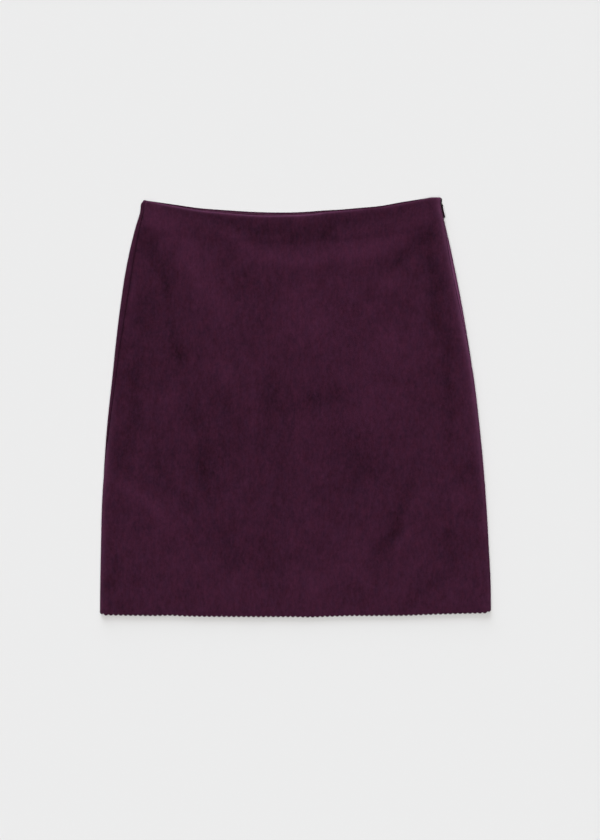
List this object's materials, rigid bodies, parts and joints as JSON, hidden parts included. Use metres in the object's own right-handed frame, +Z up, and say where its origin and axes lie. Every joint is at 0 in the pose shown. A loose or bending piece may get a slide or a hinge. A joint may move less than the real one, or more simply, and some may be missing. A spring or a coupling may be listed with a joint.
{
  "type": "suede midi skirt",
  "caption": "Short A-line suede skirt laid flat, with a scalloped raw hem, a concealed side zip and a swinging pull tab.",
  "frame": {"origin": "middle of the skirt's outline as it lies, on the surface that it rests on", "axes": "+X across the skirt towards the zip's side seam, +Y from the hem to the waist, +Z up from the surface, out of the front"},
  "size_m": [0.4692, 0.503, 0.0065],
  "materials": {
    "suede": "wine faux suede with a short brushed nap, matt with a soft sheen at the rims",
    "facing": "the same suede, inside the back's waist",
    "zip_tape": "dark woven zip tape with a nylon coil",
    "zip_metal": "dark brown lacquered metal, half gloss"
  },
  "bodies": {
    "skirt": {"front_panel": "suede", "back_panel": "suede", "back_waist_facing": "facing", "zip_tape": "zip_tape", "zip_slider": "zip_metal"},
    "pull": {"zip_pull": "zip_metal"}
  },
  "joints": [
    {"name": "pull_swing", "type": "hinge", "parent": "skirt", "child": "pull", "pos_m": [0.1759, 0.2415, 0.0029], "axis": [0, 0, 1], "range_deg": [0, 125]}
  ]
}
